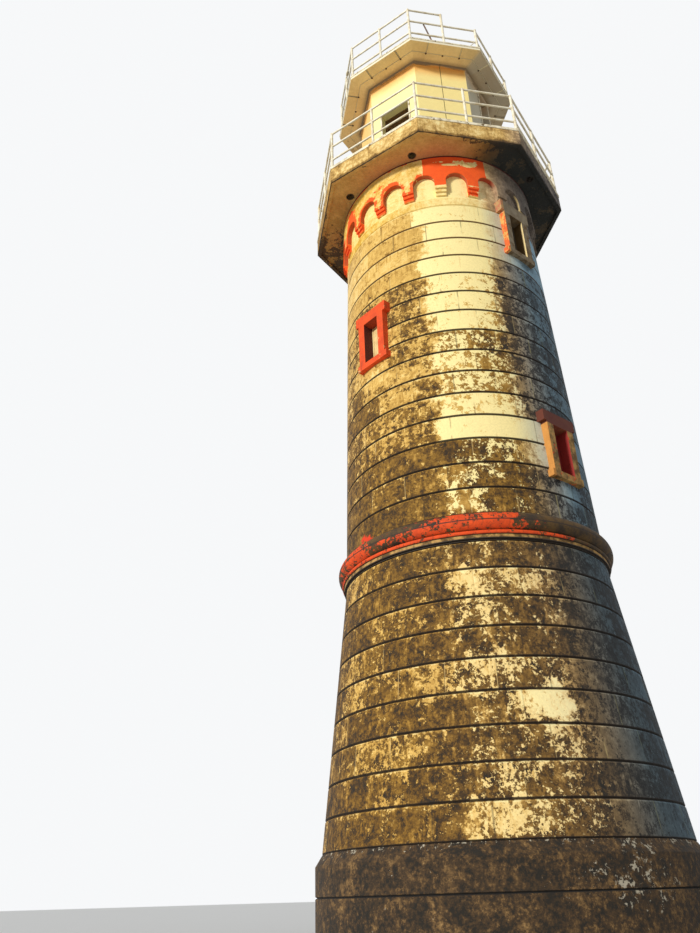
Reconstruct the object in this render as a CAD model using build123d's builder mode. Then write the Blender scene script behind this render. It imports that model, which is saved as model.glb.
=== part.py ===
from build123d import *
from math import cos, sin, radians
import os

os.makedirs("parts", exist_ok=True)

# Stone lighthouse tower in millimetres, +Z up, origin on the ground at the tower's axis.
# Azimuths are degrees anticlockwise from -Y seen from above: 0 faces -Y and 90 faces +X.

# plinth and shaft
plinth_radius = 2365
plinth_face_height = 830
plinth_height = 960
plinth_joint = 500
plinth_joint_half = 14
bore_radius = 1200
lower_foot_radius = 2278
lower_head_radius = 1893
lower_courses = 9
lower_course = 380
upper_foot_radius = 1880
upper_head_radius = 1700
upper_courses = 15
upper_course = 383
groove_depth = 24
groove_height = 34

# string course, from its foot: drip, fillet, bead and half-round roll
string_height = 380
drip_height = 20
fillet_height = 52
fillet_proud = 30
bead_radius = 28
roll_proud = 122

# arcade of round-headed niches on stepped corbels
arcade_height = 1149
niche_count = 20
niche_width = 370
niche_depth = 90
niche_axis = 75.3
arcade_proud = 75
corbel_height = 225
corbel_step = 60
springing_height = 525

# openings in the shaft: azimuth of the axis, foot of the opening, its height
window_width = 300
windows = {
    "left": (-14, 7760, 750),
    "right_low": (73, 5490, 750),
    "right_high": (73, 9670, 800),
    "back": (166, 7760, 750),
    "rear_low": (253, 5490, 750),
    "rear_high": (253, 9670, 800),
}
jamb_width = 130
ear = 55
ear_drop = 30
sill_ear = 40
sill_height = 100
lintel_height = 200
surround_proud = 80
surround_seat = 100
shutter_thickness = 45
shutter_lap = 40
shutter_stile = 28
shutter_groove = 16
cut_clearance = 200
door_axis = 253
door_width = 800
door_height = 2000

# gallery
slab_corner = 2360
slab_thickness = 345
slab_rim = 62
slab_rim_drop = 25
soffit_hole_radius = 55
soffit_hole_depth = 150
soffit_holes = [(17, 1880), (-26, 1890), (87, 1990), (197, 1880), (154, 1890), (267, 1990)]
edge_width = 112
edge_height = 55
edge_proud = 10

# room on the gallery: doorways as azimuth, width, height, shift along the wall
room_corner = 1360
room_wall = 120
room_height = 2975
room_doorways = {0: (600, 1966, 0), 90: (400, 2935, 240)}
seam_width = 10
seam_depth = 8
cornice_proud = 50
cornice_height = 40

# platform on the room
platform_corner = 1840
platform_thickness = 60
platform_seam = 340
platform_border = 235
platform_edge_height = 30

# railings, with the heights of the lower and middle rails as shares of the whole
gallery_rail_corner = 2325
gallery_rail_height = 940
platform_rail_corner = 1785
platform_rail_height = 1000
rail_shares = (0.235, 0.617)
post_radius = 24
rail_radius = 18
rail_gap = 0.3
stay_radius = 9
stay_reach = 170
rod_radius = 15
rod_foot = -205
rod_head = -370

string_foot = plinth_height + lower_courses * lower_course
upper_foot = string_foot + string_height
arcade_foot = upper_foot + upper_courses * upper_course
corbel_foot = arcade_foot + corbel_height
springing = arcade_foot + springing_height
soffit_level = arcade_foot + arcade_height
slab_foot = soffit_level - slab_rim_drop
gallery_level = slab_foot + slab_thickness
gallery_edge_level = gallery_level + edge_height
platform_soffit = gallery_level + room_height
platform_level = platform_soffit + platform_thickness
platform_edge_level = platform_level + platform_edge_height
high_lintel_height = corbel_foot - windows["right_high"][1] - windows["right_high"][2]
half_turn = radians(22.5)

wall_axes = [-14, 73, 166, 253]
wall_names = ["front", "right", "back", "left"]
side_names = ["front", "front_right", "right", "back_right", "back", "back_left", "left", "front_left"]


def shaft_radius(z):
    """Face of the battered shaft at a height."""
    if z < string_foot + 1:
        share = (z - plinth_height) / (string_foot - plinth_height)
        return lower_foot_radius + (lower_head_radius - lower_foot_radius) * share
    share = (z - upper_foot) / (soffit_level - upper_foot)
    return upper_foot_radius + (upper_head_radius - upper_foot_radius) * share


def radial(azimuth):
    """Upright plane through the tower's axis: x runs outwards, y up."""
    a = radians(azimuth)
    return Plane(origin=(0, 0, 0), x_dir=(sin(a), -cos(a), 0), z_dir=(-cos(a), -sin(a), 0))


def facing(azimuth, distance=0):
    """Upright plane square to an azimuth: x runs along the wall, y up, z outwards."""
    a = radians(azimuth)
    return Plane(origin=(distance * sin(a), -distance * cos(a), 0),
                 x_dir=(cos(a), sin(a), 0), z_dir=(sin(a), -cos(a), 0))


def polar(radius, azimuth):
    a = radians(azimuth)
    return radius * sin(a), -radius * cos(a)


def course_line(foot, count, course):
    """Face of a coursed wall, with a V groove at each bed joint."""
    half = groove_height / 2
    line = []
    for i in range(count):
        low, high = foot + i * course, foot + (i + 1) * course
        line += [(shaft_radius(low) - groove_depth, low), (shaft_radius(low + half), low + half),
                 (shaft_radius(high - half), high - half)]
    return line + [(shaft_radius(high) - groove_depth, high)]


def wall_between(start, end, line):
    """Segment of the round wall between two azimuths, from the bore out to a line."""
    with BuildPart() as segment:
        with BuildSketch(radial(start)):
            with BuildLine():
                Polyline((bore_radius, line[0][1]), *line, (bore_radius, line[-1][1]), close=True)
            make_face()
        revolve(axis=Axis.Z, revolution_arc=end - start)
    return segment


def surround_blocks(name):
    """Width, foot and head of the sill, the jambs and the lintel round a window."""
    azimuth, foot, height = windows[name]
    width = window_width + 2 * jamb_width
    head = foot + height
    over = high_lintel_height if name.endswith("high") else lintel_height
    return [(width + 2 * sill_ear, foot - sill_height, foot), (width, foot, head + ear_drop),
            (width + 2 * ear, head + ear_drop, head + over)]


def seat_distance(name):
    azimuth, foot, height = windows[name]
    return shaft_radius(foot + height / 2) - surround_seat


def cut_windows():
    """Window openings with seats for the shutter and the surround, cut from the wall being built."""
    for name, (azimuth, foot, height) in windows.items():
        inside = bore_radius - cut_clearance
        with BuildSketch(facing(azimuth, inside)) as opening:
            with Locations((0, foot + height / 2)):
                Rectangle(window_width + 2 * shutter_lap, height + 2 * shutter_lap)
        extrude(opening.sketch, amount=seat_distance(name) - inside, mode=Mode.SUBTRACT)
        with BuildSketch(facing(azimuth, seat_distance(name))) as pocket:
            for width, low, high in surround_blocks(name):
                with Locations((0, (low + high) / 2)):
                    Rectangle(width, high - low)
        extrude(pocket.sketch, amount=surround_seat + cut_clearance, mode=Mode.SUBTRACT)


# one mass of masonry from the ground to the floor inside
with BuildPart() as plinth:
    with BuildSketch(Plane.XZ):
        with BuildLine():
            Polyline((0, 0), (plinth_radius, 0), (plinth_radius, plinth_joint - plinth_joint_half),
                     (plinth_radius - groove_depth, plinth_joint),
                     (plinth_radius, plinth_joint + plinth_joint_half),
                     (plinth_radius, plinth_face_height), (lower_foot_radius, plinth_height),
                     (0, plinth_height), close=True)
        make_face()
    revolve(axis=Axis.Z)
plinth.part.label = "plinth"
export_step(plinth.part, "parts/plinth.step")

# coursed walls of the shaft, split at the axes of the windows
for i, side in enumerate(wall_names):
    start = wall_axes[i]
    end = wall_axes[i + 1] if i < 3 else wall_axes[0] + 360

    with BuildPart() as lower_wall:
        add(wall_between(start, end, course_line(plinth_height, lower_courses, lower_course)).part)
        with BuildSketch(facing(door_axis)):
            with Locations((0, (plinth_height + string_foot) / 2)):
                Rectangle(door_width, string_foot - plinth_height)
        extrude(amount=lower_foot_radius + cut_clearance, mode=Mode.SUBTRACT)
    lower_wall.part.label = f"lower_wall_{side}"
    export_step(lower_wall.part, f"parts/lower_wall_{side}.step")

    with BuildPart() as upper_wall:
        add(wall_between(start, end, course_line(upper_foot, upper_courses, upper_course)).part)
        cut_windows()
    upper_wall.part.label = f"upper_wall_{side}"
    export_step(upper_wall.part, f"parts/upper_wall_{side}.step")

# masonry over the tower's doorway
with BuildPart() as wall_over_door:
    add(wall_between(door_axis - 30, door_axis + 30,
                     course_line(plinth_height, lower_courses, lower_course)).part)
    with BuildSketch(facing(door_axis)):
        with Locations((0, (plinth_height + door_height + string_foot) / 2)):
            Rectangle(door_width, string_foot - plinth_height - door_height)
    extrude(amount=lower_foot_radius + cut_clearance, mode=Mode.INTERSECT)
wall_over_door.part.label = "wall_over_door"
export_step(wall_over_door.part, "parts/wall_over_door.step")

# string course between the two shafts
with BuildPart() as string_course:
    with BuildSketch(Plane.XZ):
        fillet_radius = lower_head_radius + fillet_proud
        bead_foot = string_foot + drip_height + fillet_height
        roll_foot = bead_foot + 2 * bead_radius
        with BuildLine():
            Polyline((bore_radius, string_foot), (lower_head_radius, string_foot),
                     (lower_head_radius, string_foot + drip_height),
                     (fillet_radius, string_foot + drip_height), (fillet_radius, bead_foot))
            ThreePointArc((fillet_radius, bead_foot),
                          (fillet_radius + bead_radius, bead_foot + bead_radius),
                          (fillet_radius, roll_foot))
            Line((fillet_radius, roll_foot), (upper_foot_radius, roll_foot))
            ThreePointArc((upper_foot_radius, roll_foot),
                          (upper_foot_radius + roll_proud, (roll_foot + upper_foot) / 2),
                          (upper_foot_radius, upper_foot))
            Polyline((upper_foot_radius, upper_foot), (bore_radius, upper_foot),
                     (bore_radius, string_foot))
        make_face()
    revolve(axis=Axis.Z)
string_course.part.label = "string_course"
export_step(string_course.part, "parts/string_course.step")

# top of the wall with its ring of arches on stepped corbels, cut into quarters at piers
pitch = 360 / niche_count
back = niche_depth - arcade_proud
for i, side in enumerate(wall_names):
    start = niche_axis + pitch / 2 + 90 * (i - 1)
    foot_radius = shaft_radius(arcade_foot) - back
    head_radius = shaft_radius(soffit_level) - back
    step = niche_depth / 3
    with BuildPart() as arch_ring:
        with BuildSketch(radial(start)):
            with BuildLine():
                Polyline((bore_radius, corbel_foot), (foot_radius + step, corbel_foot),
                         (foot_radius + step, corbel_foot + corbel_step),
                         (foot_radius + 2 * step, corbel_foot + corbel_step),
                         (foot_radius + 2 * step, corbel_foot + 2 * corbel_step),
                         (foot_radius + 3 * step, corbel_foot + 2 * corbel_step),
                         (head_radius + 3 * step, soffit_level), (bore_radius, soffit_level),
                         close=True)
            make_face()
        revolve(axis=Axis.Z, revolution_arc=90)
        for k in range(niche_count // 4):
            with BuildSketch(facing(start + pitch * (k + 0.5), bore_radius)):
                with Locations((0, (corbel_foot + springing) / 2)):
                    Rectangle(niche_width, springing - corbel_foot)
                with Locations((0, springing)):
                    Circle(niche_width / 2)
            extrude(amount=upper_foot_radius, mode=Mode.SUBTRACT)
    with BuildPart() as arcade_wall:
        add(wall_between(start, start + 90,
                         [(shaft_radius(arcade_foot) - groove_depth, arcade_foot),
                          (shaft_radius(arcade_foot), arcade_foot + groove_height / 2),
                          (shaft_radius(arcade_foot), corbel_foot - 2 * groove_height),
                          (foot_radius, corbel_foot - groove_height),
                          (head_radius, soffit_level)]).part)
        add(arch_ring.part)
        cut_windows()
    arcade_wall.part.label = f"arcade_{side}"
    export_step(arcade_wall.part, f"parts/arcade_{side}.step")

# dressed surrounds of the windows, seated in the wall, and the shutters behind them
for name, (azimuth, foot, height) in windows.items():
    with BuildPart() as surround:
        with BuildSketch(facing(azimuth, seat_distance(name))):
            for width, low, high in surround_blocks(name):
                with Locations((0, (low + high) / 2)):
                    Rectangle(width, high - low)
            with Locations((0, foot + height / 2)):
                Rectangle(window_width, height, mode=Mode.SUBTRACT)
        extrude(amount=surround_seat + surround_proud)
    surround.part.label = f"window_surround_{name}"
    export_step(surround.part, f"parts/window_surround_{name}.step")

with BuildPart() as window_shutters:
    for name, (azimuth, foot, height) in windows.items():
        outer = facing(azimuth, seat_distance(name) - shutter_thickness)
        with BuildSketch(outer):
            with Locations((0, foot + height / 2)):
                Rectangle(window_width + 2 * shutter_lap, height + 2 * shutter_lap)
        extrude(amount=shutter_thickness)
        with BuildSketch(facing(azimuth, seat_distance(name) - seam_depth)):
            with Locations((0, foot + height / 2)):
                Rectangle(window_width - 2 * shutter_stile, height - 2 * shutter_stile)
                Rectangle(window_width - 2 * shutter_stile - 2 * shutter_groove,
                          height - 2 * shutter_stile - 2 * shutter_groove, mode=Mode.SUBTRACT)
        extrude(amount=seam_depth, mode=Mode.SUBTRACT)
window_shutters.part.label = "window_shutters"
export_step(window_shutters.part, "parts/window_shutters.step")

# gallery floor, an octagon with a flat side on each axis and a drip rim under its edge
with BuildPart() as gallery_slab:
    with BuildSketch(Plane.XY.offset(slab_foot)):
        RegularPolygon(slab_corner, 8, rotation=22.5)
    extrude(amount=slab_thickness)
    with BuildSketch(Plane.XY.offset(slab_foot)):
        RegularPolygon(slab_corner - slab_rim / cos(half_turn), 8, rotation=22.5)
    extrude(amount=slab_rim_drop, mode=Mode.SUBTRACT)
    with BuildSketch(Plane.XY.offset(soffit_level)):
        with Locations(*[polar(radius, azimuth) for azimuth, radius in soffit_holes]):
            Circle(soffit_hole_radius)
    extrude(amount=soffit_hole_depth, mode=Mode.SUBTRACT)
gallery_slab.part.label = "gallery_slab"
export_step(gallery_slab.part, "parts/gallery_slab.step")

with BuildPart() as gallery_edge:
    with BuildSketch(Plane.XY.offset(gallery_level)):
        outside = slab_corner + edge_proud / cos(half_turn)
        RegularPolygon(outside, 8, rotation=22.5)
        RegularPolygon(outside - edge_width / cos(half_turn), 8, rotation=22.5, mode=Mode.SUBTRACT)
    extrude(amount=edge_height)
gallery_edge.part.label = "gallery_edge"
export_step(gallery_edge.part, "parts/gallery_edge.step")

# octagonal room on the gallery, one mitred wall on each side
face_distance = room_corner * cos(half_turn)
for i, side in enumerate(side_names):
    azimuth = 45 * i
    inner_corner = room_corner - room_wall / cos(half_turn)
    with BuildPart() as room_side:
        with BuildSketch(Plane.XY.offset(gallery_level)):
            with BuildLine():
                Polyline(polar(room_corner, azimuth - 22.5), polar(room_corner, azimuth + 22.5),
                         polar(inner_corner, azimuth + 22.5), polar(inner_corner, azimuth - 22.5),
                         close=True)
            make_face()
        extrude(amount=room_height)
        if azimuth in room_doorways:
            width, height, shift = room_doorways[azimuth]
            with BuildSketch(facing(azimuth, face_distance - 2 * room_wall)):
                with Locations((shift, gallery_level + height / 2)):
                    Rectangle(width, height)
            extrude(amount=3 * room_wall, mode=Mode.SUBTRACT)
        else:
            with BuildSketch(facing(azimuth, face_distance - seam_depth)):
                with Locations((0, gallery_level + room_height / 2)):
                    Rectangle(seam_width, room_height)
            extrude(amount=2 * seam_depth, mode=Mode.SUBTRACT)
    room_side.part.label = f"room_wall_{side}"
    export_step(room_side.part, f"parts/room_wall_{side}.step")

# splayed cornice where the walls meet the platform
with BuildPart() as room_cornice:
    with BuildSketch(Plane.XY.offset(platform_soffit - cornice_height)):
        RegularPolygon(room_corner + cornice_proud / 4, 8, rotation=22.5)
    with BuildSketch(Plane.XY.offset(platform_soffit)):
        RegularPolygon(room_corner + cornice_proud, 8, rotation=22.5)
    loft()
    with BuildSketch(Plane.XY.offset(platform_soffit - cornice_height)):
        RegularPolygon(room_corner, 8, rotation=22.5)
    extrude(amount=cornice_height, mode=Mode.SUBTRACT)
room_cornice.part.label = "room_cornice"
export_step(room_cornice.part, "parts/room_cornice.step")

# platform of sheets: a seam round the room and two seams from it to each edge
with BuildPart() as platform_slab:
    with BuildSketch(Plane.XY.offset(platform_soffit)):
        RegularPolygon(platform_corner, 8, rotation=22.5)
    extrude(amount=platform_thickness)
    border = face_distance + platform_border
    with BuildSketch(Plane.XY.offset(platform_soffit)):
        RegularPolygon(border / cos(half_turn), 8, rotation=22.5)
        RegularPolygon((border - seam_width) / cos(half_turn), 8, rotation=22.5, mode=Mode.SUBTRACT)
    extrude(amount=seam_depth, mode=Mode.SUBTRACT)
    for i in range(8):
        with BuildSketch(facing(45 * i, border - seam_width)):
            with Locations((-platform_seam, platform_soffit + seam_depth / 2),
                           (platform_seam, platform_soffit + seam_depth / 2)):
                Rectangle(seam_width, seam_depth)
        extrude(amount=platform_corner - border, mode=Mode.SUBTRACT)
platform_slab.part.label = "platform_slab"
export_step(platform_slab.part, "parts/platform_slab.step")

with BuildPart() as platform_edge:
    with BuildSketch(Plane.XY.offset(platform_level)):
        outside = platform_corner + edge_proud / cos(half_turn)
        RegularPolygon(outside, 8, rotation=22.5)
        RegularPolygon(outside - edge_width / cos(half_turn), 8, rotation=22.5, mode=Mode.SUBTRACT)
    extrude(amount=platform_edge_height)
platform_edge.part.label = "platform_edge"
export_step(platform_edge.part, "parts/platform_edge.step")


def railing(azimuth, corner, level, height, short=(), gaps=(), stay=False):
    """One side of an octagonal railing: corner post, middle post and three rails.

    short names the posts that end at the middle rail, gaps the halves with no top rail,
    and stay adds the slanting bar at the foot of the next corner post.
    """
    half = corner * sin(half_turn)
    face = facing(azimuth, corner * cos(half_turn))
    low, middle = (level + height * share for share in rail_shares)
    top = level + height - rail_radius
    with BuildPart() as side_rail:
        for post, x in (("corner", -half), ("middle", 0)):
            tall = middle + rail_radius if post in short else level + height
            place = face.from_local_coords((x, level, 0))
            with BuildSketch(Plane(origin=place, x_dir=face.x_dir, z_dir=(0, 0, 1))):
                Circle(post_radius)
            extrude(amount=tall - level)
        runs = [(low, -half, half), (middle, -half, half)]
        runs += [(top, x, x + half) for part, x in (("first", -half), ("second", 0)) if part not in gaps]
        for z, begin, end in runs:
            place = face.from_local_coords((begin, z, 0))
            with BuildSketch(Plane(origin=place, x_dir=(0, 0, 1), z_dir=face.x_dir)):
                Circle(rail_radius)
            extrude(amount=end - begin)
        if stay:
            head = half - post_radius - rail_radius
            place = face.from_local_coords((head - stay_reach, level, 0))
            slope = face.x_dir * stay_reach + Vector(0, 0, low - level)
            with BuildSketch(Plane(origin=place, x_dir=face.x_dir, z_dir=(0, 0, 1))):
                Circle(stay_radius)
            extrude(amount=slope.length, dir=slope)
        place = face.from_local_coords((half, level, 0))
        with BuildSketch(Plane(origin=place, x_dir=face.x_dir, z_dir=(0, 0, 1))):
            Circle(post_radius + rail_gap)
        extrude(amount=height, mode=Mode.SUBTRACT)
    return side_rail


# bare rod that leans on the inside of the upper railing
rod_side = "front_right"
with BuildPart() as leaning_rod:
    rod_face = facing(45 * side_names.index(rod_side),
                      platform_rail_corner * cos(half_turn) - rail_radius - rod_radius - rail_gap)
    foot_point = rod_face.from_local_coords((rod_foot, platform_edge_level, 0))
    slope = (rod_face.x_dir * (rod_head - rod_foot)
             + Vector(0, 0, platform_rail_height * rail_shares[1] + rail_radius))
    with BuildSketch(Plane(origin=foot_point, x_dir=rod_face.x_dir, z_dir=(0, 0, 1))):
        Circle(rod_radius)
    extrude(amount=slope.length, dir=slope)

# the upper railing has lost its top rail from the middle of one side to the middle of the
# next but one, with the posts there cut down to the middle rail
lost = {45: {"gaps": ("second",), "stay": True},
        90: {"gaps": ("first", "second"), "short": ("corner", "middle"), "stay": True},
        135: {"gaps": ("first",), "short": ("corner",)}}
for i, side in enumerate(side_names):
    gallery_rail = railing(45 * i, gallery_rail_corner, gallery_edge_level, gallery_rail_height,
                           stay=side in ("right", "left"))
    gallery_rail.part.label = f"gallery_rail_{side}"
    export_step(gallery_rail.part, f"parts/gallery_rail_{side}.step")

    with BuildPart() as platform_rail:
        add(railing(45 * i, platform_rail_corner, platform_edge_level, platform_rail_height,
                    **lost.get(45 * i, {})).part)
        if side == rod_side:
            add(leaning_rod.part)
    platform_rail.part.label = f"platform_rail_{side}"
    export_step(platform_rail.part, f"parts/platform_rail_{side}.step")
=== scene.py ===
import bpy
import bmesh
from math import radians, sin, cos, pi
from mathutils import Matrix, Vector, noise as field


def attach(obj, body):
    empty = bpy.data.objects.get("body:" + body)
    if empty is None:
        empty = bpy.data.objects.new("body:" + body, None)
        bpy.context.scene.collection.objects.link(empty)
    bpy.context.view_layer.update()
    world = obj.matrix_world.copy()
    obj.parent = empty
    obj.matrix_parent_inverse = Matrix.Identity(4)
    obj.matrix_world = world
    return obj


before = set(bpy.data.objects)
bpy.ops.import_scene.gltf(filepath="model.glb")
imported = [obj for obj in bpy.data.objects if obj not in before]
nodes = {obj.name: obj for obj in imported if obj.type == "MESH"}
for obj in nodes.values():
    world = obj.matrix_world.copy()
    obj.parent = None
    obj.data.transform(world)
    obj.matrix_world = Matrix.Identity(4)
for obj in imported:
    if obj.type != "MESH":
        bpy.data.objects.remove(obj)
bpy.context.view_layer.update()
scene = bpy.context.scene
scene.view_settings.view_transform = "Standard"
print("frame loaded:", len(nodes), "nodes")

# azimuths are degrees from -Y towards +X, heights are metres above the ground
camera = {"place": (4.678, -9.956, 0.5), "turn": 34.525, "tilt": 29.136, "roll": -1.657, "lens": 29.82,
          "sensor": 36, "near": 0.05, "far": 400}
light = {"azimuth": -11, "height": 17, "strength": 3.05, "softness": 9, "fill": 0.34,
         "fillColour": (0.95, 0.97, 1.0), "backdrop": (0.93, 0.94, 0.95)}
floorLook = {"colour": (0.80, 0.80, 0.78), "roughness": 0.9, "radius": 140}
bench = {"tree": None}  # the node tree that is being built


def joined(operation, turned=False):
    return lambda value, other: calc(operation, *((other, value) if turned else (value, other)))


# a value in the tree: sums, products and so on of it are nodes too
class Signal:
    def __init__(self, socket):
        self.socket = socket

    __add__ = __radd__ = joined("ADD")
    __mul__ = __rmul__ = joined("MULTIPLY")
    __sub__, __rsub__ = joined("SUBTRACT"), joined("SUBTRACT", turned=True)
    __truediv__, __rtruediv__ = joined("DIVIDE"), joined("DIVIDE", turned=True)
    __mod__ = joined("MODULO")

    def __abs__(self):
        return calc("ABSOLUTE", self)


# a colour written as a screen shows it, made linear
def paint(text):
    parts = [int(text[i:i + 2], 16) / 255 for i in (0, 2, 4)]
    return tuple(p / 12.92 if p <= 0.04045 else ((p + 0.055) / 1.055) ** 2.4 for p in parts)


def feed(socket, value):
    if isinstance(value, Signal):
        bench["tree"].links.new(value.socket, socket)
    elif socket.type == "RGBA":
        socket.default_value = (*(paint(value) if isinstance(value, str) else value), 1)
    else:
        socket.default_value = value


def putNode(kind, inputs={}, **settings):
    node = bench["tree"].nodes.new("ShaderNode" + kind)
    for name, value in settings.items():
        setattr(node, name, value)
    for name, value in inputs.items():
        feed(node.inputs[name], value)
    return node


def put(kind, output, inputs={}, **settings):
    return Signal(putNode(kind, inputs, **settings).outputs[output])


def calc(operation, *values):
    return put("Math", 0, dict(enumerate(values)), operation=operation)


def larger(first, second):
    return calc("MAXIMUM", first, second)


def length(across, up):
    return calc("SQRT", across * across + up * up)


def xyz(point):
    return [Signal(socket) for socket in putNode("SeparateXYZ", {0: point}).outputs]


def combine(x, y, z=0.0):
    return put("CombineXYZ", 0, {0: x, 1: y, 2: z})


# soft step: 0 at low, 1 at high, and the other way round where low is above high
def step(value, low, high):
    return put("MapRange", 0, {"Value": value, "From Min": low, "From Max": high}, interpolation_type="SMOOTHSTEP")


def above(value, level, soft):
    return step(value, level - soft, level + soft)


def under(value, level, soft):
    return step(value, level + soft, level - soft)


def between(value, low, high, soft):
    return above(value, low, soft) * under(value, high, soft)


def blend(mask, first, second, kind="MIX"):
    return put("Mix", 2, {0: mask, 6: first, 7: second}, data_type="RGBA", blend_type=kind, clamp_factor=True)


def noise(vector, scale, detail=4, roughness=0.55, distortion=0.0):
    return put("TexNoise", 0, {"Vector": vector, "Scale": scale, "Detail": detail, "Roughness": roughness,
                               "Distortion": distortion})


# a ramp with a colour at each of its stops
def ramp(value, stops, interpolation="LINEAR"):
    node = putNode("ValToRGB", {0: value})
    band = node.color_ramp
    band.interpolation = interpolation
    while len(band.elements) < len(stops):
        band.elements.new(0.5)
    for element, (at, colour) in zip(band.elements, stops):
        element.position = at
        element.color = (*colour, 1)
    return Signal(node.outputs[0])


# inputs of a group with their usual values; one without a value is a place
def newGroup(name, **inputs):
    tree = bench["tree"] = bpy.data.node_groups.new(name, "ShaderNodeTree")
    for label, value in inputs.items():
        kind = "NodeSocketVector" if value is None else "NodeSocketFloat"
        socket = tree.interface.new_socket(label, in_out="INPUT", socket_type=kind)
        if value is not None:
            socket.default_value = value
    return [Signal(socket) for socket in tree.nodes.new("NodeGroupInput").outputs[:len(inputs)]]


def closeGroup(**results):
    tree = bench["tree"]
    for label in results:
        kind = {"Point": "NodeSocketVector", "Color": "NodeSocketColor"}.get(label, "NodeSocketFloat")
        tree.interface.new_socket(label, in_out="OUTPUT", socket_type=kind)
    sockets = tree.nodes.new("NodeGroupOutput").inputs
    for label, value in results.items():
        feed(sockets[label], value)
    return tree


def useGroup(group, **inputs):
    return {socket.name: Signal(socket) for socket in putNode("Group", inputs, node_tree=group).outputs}


def newMaterial(name, roughness, metallic=0.0):
    material = bpy.data.materials.new(name)
    material.use_nodes = True
    bench["tree"] = material.node_tree
    shader = material.node_tree.nodes["Principled BSDF"].inputs
    shader["Roughness"].default_value = roughness
    shader["Metallic"].default_value = metallic
    return material, shader


def makeCamera():
    data = bpy.data.cameras.new("towerCamera")
    data.sensor_fit = "AUTO"
    data.sensor_width = camera["sensor"]
    data.lens = camera["lens"]
    data.clip_start, data.clip_end = camera["near"], camera["far"]
    holder = bpy.data.objects.new("towerCamera", data)
    holder.matrix_world = (Matrix.Translation(camera["place"])
                           @ Matrix.Rotation(radians(camera["turn"]), 4, "Z")
                           @ Matrix.Rotation(radians(90 + camera["tilt"]), 4, "X")
                           @ Matrix.Rotation(radians(camera["roll"]), 4, "Z"))
    scene.collection.objects.link(holder)
    scene.camera = holder


def outwards(azimuth, radius=1.0, height=0.0):
    a = radians(azimuth)
    return Vector((radius * sin(a), -radius * cos(a), height))


def makeLight():
    lamp = bpy.data.lights.new("keySun", "SUN")
    lamp.energy = light["strength"]
    lamp.angle = radians(light["softness"])
    holder = bpy.data.objects.new("keySun", lamp)
    rise = radians(light["height"])
    towards = outwards(light["azimuth"], cos(rise), sin(rise))
    holder.rotation_euler = towards.to_track_quat("Z", "Y").to_euler()
    scene.collection.objects.link(holder)
    world = bpy.data.worlds.new("studio")
    scene.world = world
    world.use_nodes = True
    bench["tree"] = world.node_tree
    world.node_tree.nodes.clear()
    paths = putNode("LightPath").outputs
    direct, glossy, through = (Signal(paths[f"Is {ray} Ray"]) for ray in ("Camera", "Glossy", "Transmission"))
    soft = put("Background", 0, {"Color": light["fillColour"], "Strength": light["fill"]})
    pale = put("Background", 0, {"Color": light["backdrop"], "Strength": 1.0})
    mix = put("MixShader", 0, {0: larger(direct, larger(glossy, through)), 1: soft, 2: pale})
    putNode("OutputWorld", {"Surface": mix})


def newObject(name, bm, material):
    mesh = bpy.data.meshes.new(name)
    bm.to_mesh(mesh)
    bm.free()
    mesh.materials.append(material)
    made = bpy.data.objects.new(name, mesh)
    scene.collection.objects.link(made)
    return made


def makeFloor():
    bm = bmesh.new()
    bmesh.ops.create_circle(bm, cap_ends=True, segments=96, radius=floorLook["radius"])
    material, shader = newMaterial("floorPaint", floorLook["roughness"])
    feed(shader["Base Color"], floorLook["colour"])
    floor = newObject("floor", bm, material)


makeCamera()
makeLight()
makeFloor()
print("camera, light and floor ready")


# place on the tower: azimuth, height and distance from the axis, and for the
# nearest side of the octagon its distance from the axis and its place along that side
def makeTowerPlace():
    newGroup("towerPlace")
    point = put("TexCoord", "Object")
    x, y, z = xyz(point)
    angle, radius = calc("ARCTAN2", x, y * -1.0), length(x, y)
    turned = (angle + pi * 4.125) % (pi / 4) - pi / 8  # from the middle of the side
    return closeGroup(Point=point, Azimuth=angle * (180 / pi), Height=z, Radius=radius,
                      Off=radius * calc("COSINE", turned), Along=radius * calc("SINE", turned))


# ragged patches of plaster or paint, broken up by speckles
def makePatches():
    point, size, cover, speckle, edge = newGroup("raggedPatches", Point=None, Size=0.2, Cover=0.5, Speckle=0.8,
                                                 Edge=0.02)
    broad = noise(point, 1.0 / size, 8, 0.66, 0.3)
    fine = noise(point, 24.0, 6, 0.74)
    limit = cover * -0.44 + 0.72
    return closeGroup(Mask=step((fine - 0.5) * speckle + broad, limit, limit + edge))


# upright runs left by rain and rust
def makeRuns():
    point, width, tall, cover, edge = newGroup("rainRuns", Point=None, Width=0.06, Length=0.8, Cover=0.5, Edge=0.12)
    x, y, z = xyz(point)
    squeezed = combine(x / width, y / width, z / tall)
    limit = cover * -0.5 + 0.75
    return closeGroup(Mask=step(noise(squeezed, 1.0, 5, 0.65), limit, limit + edge))


# bed joints darkened with painted shade under each course, a painted highlight on the ledge under each,
# upright joints, the course's number and a tone for each block of a coursed wall
def makeCourses():
    azimuth, height, foot, course, blocks, radius = newGroup("stoneCourses", Azimuth=0, Height=0, Foot=0,
                                                             Course=0.38, Blocks=16.0, Radius=2)
    rows = (height - foot) / course
    row = calc("FLOOR", rows)
    within = (rows - row) * course
    below = course - within
    shift = calc("FRACT", (row + 40.0) * 0.4142)  # moves the upright joints of each course
    columns = azimuth * (blocks / 360.0) + shift + 100.0
    column = calc("FLOOR", columns)
    apart = (0.5 - abs(columns - column - 0.5)) * (radius * (2 * pi) / blocks)
    tone = put("TexWhiteNoise", "Value", {"Vector": combine(column % blocks, row)}, noise_dimensions="3D")
    # bed line: the joint and painted shade under the course above; ledge: painted highlight where the groove faces up
    bed = larger(step(within, 0.026, 0.016), step(below, 0.008, 0.003))
    return closeGroup(Bed=bed, Ledge=between(below, 0.009, 0.024, 0.003), Below=below,
                      Joint=step(apart, 0.014, 0.005), Tone=tone, Row=row)


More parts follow.
